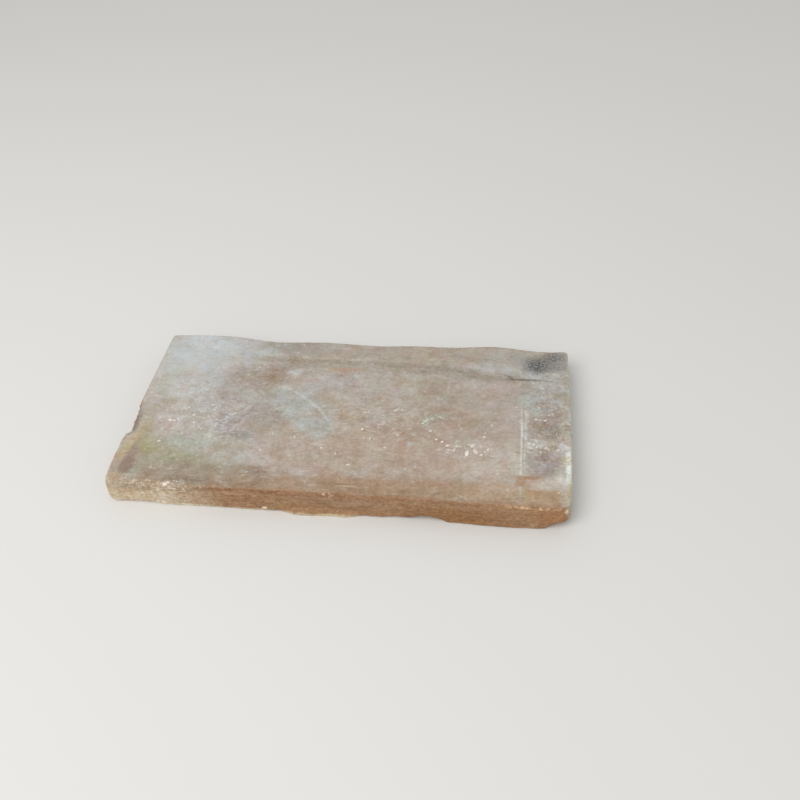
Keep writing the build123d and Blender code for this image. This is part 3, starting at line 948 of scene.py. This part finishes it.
# Lumps seen one by one: the middle, the length and width in millimetres, and the turn in degrees.
LUMPS = [
    # right of the middle
    ((64.2, -16.7), 2.8, 1.8, 20), ((69.2, -24.8), 2.6, 1.8, 0), ((73.5, -26.7), 2.8, 1.7, 60),
    ((77.6, -30.1), 2.9, 1.9, 15), ((82.7, -34.1), 4.2, 2.6, 70), ((92.0, -36.7), 6.0, 3.0, 86),
    ((95.6, -29.1), 4.4, 2.4, 40), ((98.0, -34.6), 5.8, 3.0, 128), ((103.6, -20.1), 2.2, 1.4, 20),
    ((104.8, -26.7), 2.2, 1.4, 30), ((106.7, -32.1), 2.8, 1.8, 70), ((104.6, -34.4), 2.2, 1.4, 0),
    ((102.2, -37.4), 3.0, 1.9, 20), ((108.3, -8.1), 1.9, 1.2, 0), ((114.8, -36.1), 2.2, 1.4, 50),
    ((15.8, 0.9), 2.0, 1.1, 70), ((27.8, -3.1), 2.2, 1.1, 15), ((35.8, 2.9), 3.4, 1.1, 24),
    ((40.8, 3.9), 2.2, 1.4, 40), ((13.8, -18.1), 2.5, 1.9, 20), ((20.8, -27.1), 2.2, 1.2, 75),
    ((32.8, -35.1), 2.5, 1.9, 0), ((8.8, -53.1), 3.2, 1.1, 10),
    ((28.0, -10.1), 3.8, 1.0, -14), ((38.0, 4.9), 2.8, 1.0, 30), ((60, -6), 3.0, 1.1, 60),
    ((64, -3.5), 2.5, 1.1, 20), ((70, -2), 3.2, 1.1, -20), ((58, -9), 2.0, 1.2, 0),
    # the strip at the right end
    ((147.3, -27.6), 3.2, 2.5, 10), ((143.2, -26.2), 2.2, 1.5, 40), ((135.4, -24.1), 3.0, 1.5, 30),
    ((139.0, -24.6), 3.0, 2.0, -20), ((141.0, -27.5), 2.5, 1.6, 60), ((143.6, -31.7), 2.1, 1.4, 0),
    ((137.0, -28.5), 2.0, 1.5, 10), ((133.6, -20), 2.0, 1.5, 80), ((140.2, 0), 2.0, 1.5, 0),
    ((143.2, -0.4), 2.0, 1.4, 20), ((147, -0.8), 2.1, 1.4, 0), ((159.8, -3.1), 2.0, 1.2, 20),
    ((163.2, -3.1), 1.9, 1.4, 60), ((149.4, 4.9), 2.0, 1.2, 10), ((156, -29), 2.1, 1.5, 30),
    # left of the middle
    ((-52.1, -27.1), 2.8, 1.4, 103), ((-35.0, -29.1), 4.2, 1.3, 103), ((-57.5, -43.6), 2.4, 1.5, 30),
    ((-13.2, -38.6), 2.4, 1.6, 0), ((-2, -43), 3.0, 1.2, 80), ((-97.7, -22.1), 4.0, 1.1, 70),
    ((-95, -16), 3.4, 1.0, 60), ((-90, -9), 3.0, 1.0, 45), ((-99, -33), 2.2, 1.2, 20),
    # the chalky places at the left
    ((-134.6, -18.2), 3.4, 2.5, 10), ((-131.2, -18.6), 3.0, 2.0, -20), ((-128.6, -17.0), 2.2, 1.5, 0),
    ((-117.7, -11.7), 2.8, 1.6, 40), ((-115.2, -19.9), 2.8, 1.6, 0), ((-136.2, -39.8), 3.0, 2.1, 10),
    ((-120.8, -31.1), 2.5, 1.5, 50), ((-106.2, -0.5), 2.2, 1.5, 0), ((-110, -24), 2.0, 1.2, 30),
    ((-124, -4), 2.2, 1.2, 70), ((-111, 12), 2.0, 1.4, 0), ((-140, -8), 2.0, 1.2, 30),
]

# Where small crumbs are scattered, as the rows that mark() reads.  The strength is how thickly.
CRUMBS = [
    ((-130, -80), (34, 4.5), 3, 0.5, 2, 0, 0.22, -1),
    ((-108, -79.5), (14, 4), 2, 0.5, 2, 0, 0.4, -1),
    ((92, -28), (18, 12), 2, 0.8, 3, 0, 0.16, 10),
    ((141, -25), (9, 6), 2, 0.7, 3, 0, 0.7),
    ((148, -14), (15, 46), 3, 0.7, 3, 0, 0.1),
    ((-108, -14), (30, 20), 2, 0.7, 3, 0, 0.1, 8),
    ((30, -10), (44, 18), 2, 0.7, 3, 0, 0.035),
    ((-60, 42), (40, 8), 2, 0.7, 3, 0, 0.06, 6),
]


def given_by_lot(tree, points, name, least, most, seed):
    """Gives every point a number of its own between two limits."""
    limits = {2: least, 3: most, "Seed": seed}
    number = put(tree, "FunctionNodeRandomValue", limits, output=1, data_type="FLOAT")
    inputs = {"Geometry": points, "Name": name, "Value": number}
    return put(tree, "GeometryNodeStoreNamedAttribute", inputs, data_type="FLOAT")


def mortar_tree():
    """Lays the lumps on the clay below their places, scatters the crumbs, and makes each a stone."""
    tree = bpy.data.node_groups.new("mortar", "GeometryNodeTree")
    given, made = sockets(
        tree,
        {
            "Geometry": "NodeSocketGeometry",
            "Places": "NodeSocketObject",
            "Finish": "NodeSocketMaterial",
            "Crumbs per square metre": 1000.0,
            "Thickness": 0.6,
            "Lumpiness": 0.36,
            "Highest": 1.0,
        },
        {"Geometry": "NodeSocketGeometry"},
    )
    clay = given["Geometry"]
    info = {"Object": given["Places"]}
    places = put(tree, "GeometryNodeObjectInfo", info, output="Geometry", transform_space="RELATIVE")

    # The lumps drop on to the clay.
    here = put(tree, "GeometryNodeInputPosition")
    drop = {
        "Target Geometry": clay,
        "Source Position": vectors("ADD", here, (0.0, 0.0, DROP_HEIGHT)),
        "Ray Direction": (0.0, 0.0, -1.0),
        "Ray Length": 1.0,
    }
    hit = put(tree, "GeometryNodeRaycast", drop, output="Hit Position")
    lumps = put(tree, "GeometryNodeSetPosition", {"Geometry": places, "Position": hit})

    # The crumbs are scattered by the rows above, on what faces up or forward near the top.
    place = scaled(here, 1 / MILLIMETRE)
    tear, _ = torn_at(place)
    wanted = marked(place, CRUMBS, tear)
    upper = graded(part_of(place, UPWARDS), 14.0, 19.0)
    density = product(wanted, upper, given["Crumbs per square metre"])
    spread = {"Mesh": clay, "Density": density, "Seed": 5}
    crumbs = put(tree, "GeometryNodeDistributePointsOnFaces", spread, output="Points")
    limits = {"length": (0.9, 2.2), "width": (0.7, 1.2), "turn": (-0.5, 0.5)}
    for seed, (name, (least, most)) in enumerate(limits.items()):
        crumbs = given_by_lot(tree, crumbs, name, least, most, seed)

    # Every one becomes a rough stone of its own, whiter or greyer by its lot.
    both = put(tree, "GeometryNodeJoinGeometry", {0: lumps})
    feed(both.node, {0: crumbs})
    stones_at = given_by_lot(tree, both, "lot", 0.0, 1.0, 7)
    length, width, turn = [
        put(tree, "GeometryNodeInputNamedAttribute", {"Name": name}, data_type="FLOAT")
        for name in limits
    ]
    thick = product(width, given["Thickness"])
    size = put(tree, "ShaderNodeCombineXYZ", {0: length, 1: width, 2: thick})
    ball = {"Radius": 0.5, "Subdivisions": CRUMB_ROUNDS}
    stone = {
        "Points": stones_at,
        "Instance": put(tree, "GeometryNodeMeshIcoSphere", ball),
        "Rotation": put(tree, "ShaderNodeCombineXYZ", {2: turn}),
        "Scale": scaled(size, MILLIMETRE),
    }
    stones = put(tree, "GeometryNodeInstanceOnPoints", stone)
    stones = put(tree, "GeometryNodeRealizeInstances", {"Geometry": stones})
    rough = either_way(clouds(place, 0.9, 2.0, 0.6, seed=41))
    push = product(rough, given["Lumpiness"], MILLIMETRE)
    offset = scaled(put(tree, "GeometryNodeInputNormal"), push)
    stones = put(tree, "GeometryNodeSetPosition", {"Geometry": stones, "Offset": offset})

    # None stands higher than the moulded block, and all are one with the clay.
    ceiling = put(tree, "ShaderNodeCombineXYZ", {0: 1.0, 1: 1.0, 2: given["Highest"]})
    under = vectors("MINIMUM", here, ceiling)
    stones = put(tree, "GeometryNodeSetPosition", {"Geometry": stones, "Position": under})
    stones = put(tree, "GeometryNodeSetShadeSmooth", {"Geometry": stones})
    whole = put(tree, "GeometryNodeJoinGeometry", {0: stones})
    feed(whole.node, {0: clay})
    whole = put(tree, "GeometryNodeRealizeInstances", {"Geometry": whole})
    lot = put(tree, "GeometryNodeInputNamedAttribute", {"Name": "lot"}, data_type="FLOAT")
    mortar = maths("GREATER_THAN", lot, 0.0)
    finish = {"Geometry": whole, "Selection": mortar, "Material": given["Finish"]}
    tree.links.new(put(tree, "GeometryNodeSetMaterial", finish), made["Geometry"])
    return tree


def mortar_finish():
    """Lime mortar: chalky white, a little sandy, with grey and buff in it."""
    material, tree, place = blank_finish("lime mortar")
    lot = put(tree, "ShaderNodeAttribute", output="Fac", attribute_name="lot")
    colour = mixed(lot, paint(*MORTAR_WHITE), paint(*MORTAR_GREY))
    sand = clouds(place, 0.7, 3.0, 0.6, seed=43)
    colour = painted(colour, MORTAR_SAND, graded(sand, 0.50, 0.70, 0.0, 0.5))
    rough = clouds(place, 0.4, 3.0, 0.6, seed=44)
    bump = {"Strength": 0.6, "Distance": 0.2 * MILLIMETRE, "Height": rough}
    end_finish(tree, colour, bump, roughness=0.95, gloss=0.2)
    return material


places_mesh = bpy.data.meshes.new("mortar places")
places_mesh.from_pydata([(x * MILLIMETRE, y * MILLIMETRE, 0.0) for (x, y), *_ in LUMPS], [], [])
for column, name in enumerate(("length", "width", "turn"), 1):
    values = [radians(row[column]) if name == "turn" else row[column] for row in LUMPS]
    places_mesh.attributes.new(name, "FLOAT", "POINT").data.foreach_set("value", values)
places = set_out("mortar places", places_mesh)
mortar = body.modifiers.new("mortar", "NODES")
mortar.node_group = mortar_tree()
fitted = {
    "Places": places,
    "Finish": mortar_finish(),
    "Crumbs per square metre": CRUMB_SPREAD,
    "Highest": frame_high[2],
}
set_inputs(mortar, fitted)
settle(body)
bpy.data.objects.remove(places)

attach(body, "root")
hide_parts("paver")

# The studio: a pale floor, a soft even sky and one large round lamp overhead, a little to the left
# and in front.  The camera looks down on the front edge, at the photograph's viewing angle.
FLOOR_HALF = 3.0
FLOOR_COLOUR = (226, 225, 222)
SKY_LIGHT = 0.62
SKY_BEHIND_OBJECT = 0.49
LAMP_POWER = 13.5
LAMP_ACROSS = 1.2
LAMP_PLACE = (-0.6, -0.8, 1.3)
LAMP_TURN = (29.2, -24.8, 0.0)
CAMERA_PLACE = (0.1166, -0.4164, 0.4529)
CAMERA_TURN = (45.305, 3.427, 6.991)
FILM_WIDTH = 36.0
LENS = 36.3


def stand(thing, place, turn):
    """Stands a lamp or a camera in its place, turned by some degrees, and gives back its object."""
    stood = set_out(thing.name, thing)
    stood.location = place
    stood.rotation_euler = [radians(angle) for angle in turn]
    return stood


floor_mesh = bpy.data.meshes.new("floor")
corners = [(x * FLOOR_HALF, y * FLOOR_HALF, 0.0) for x, y in ((-1, -1), (1, -1), (1, 1), (-1, 1))]
floor_mesh.from_pydata(corners, [], [(0, 1, 2, 3)])
floor = set_out("floor", floor_mesh)
floor_finish = bpy.data.materials.new("floor")
floor_finish.use_nodes = True
floor_surface = floor_finish.node_tree.nodes["Principled BSDF"]
matt = {"Base Color": paint(*FLOOR_COLOUR), "Roughness": 1.0, "Specular IOR Level": 0.0}
feed(floor_surface, matt)
floor_mesh.materials.append(floor_finish)

world = bpy.data.worlds.new("soft sky")
bpy.context.scene.world = world
world.use_nodes = True
seen = put(world.node_tree, "ShaderNodeLightPath", output="Is Camera Ray")
brightness = graded(seen, 0.0, 1.0, SKY_LIGHT, SKY_BEHIND_OBJECT)
sky = world.node_tree.nodes["Background"]
feed(sky, {"Color": (1.0, 1.0, 1.0, 1.0), "Strength": brightness})

overhead_lamp = bpy.data.lights.new("overhead lamp", "AREA")
overhead_lamp.shape = "DISK"
overhead_lamp.size = LAMP_ACROSS
overhead_lamp.energy = LAMP_POWER
stand(overhead_lamp, LAMP_PLACE, LAMP_TURN)

camera = bpy.data.cameras.new("camera")
camera.sensor_width = FILM_WIDTH
camera.lens = LENS
bpy.context.scene.camera = stand(camera, CAMERA_PLACE, CAMERA_TURN)
bpy.context.scene.view_settings.view_transform = "Standard"
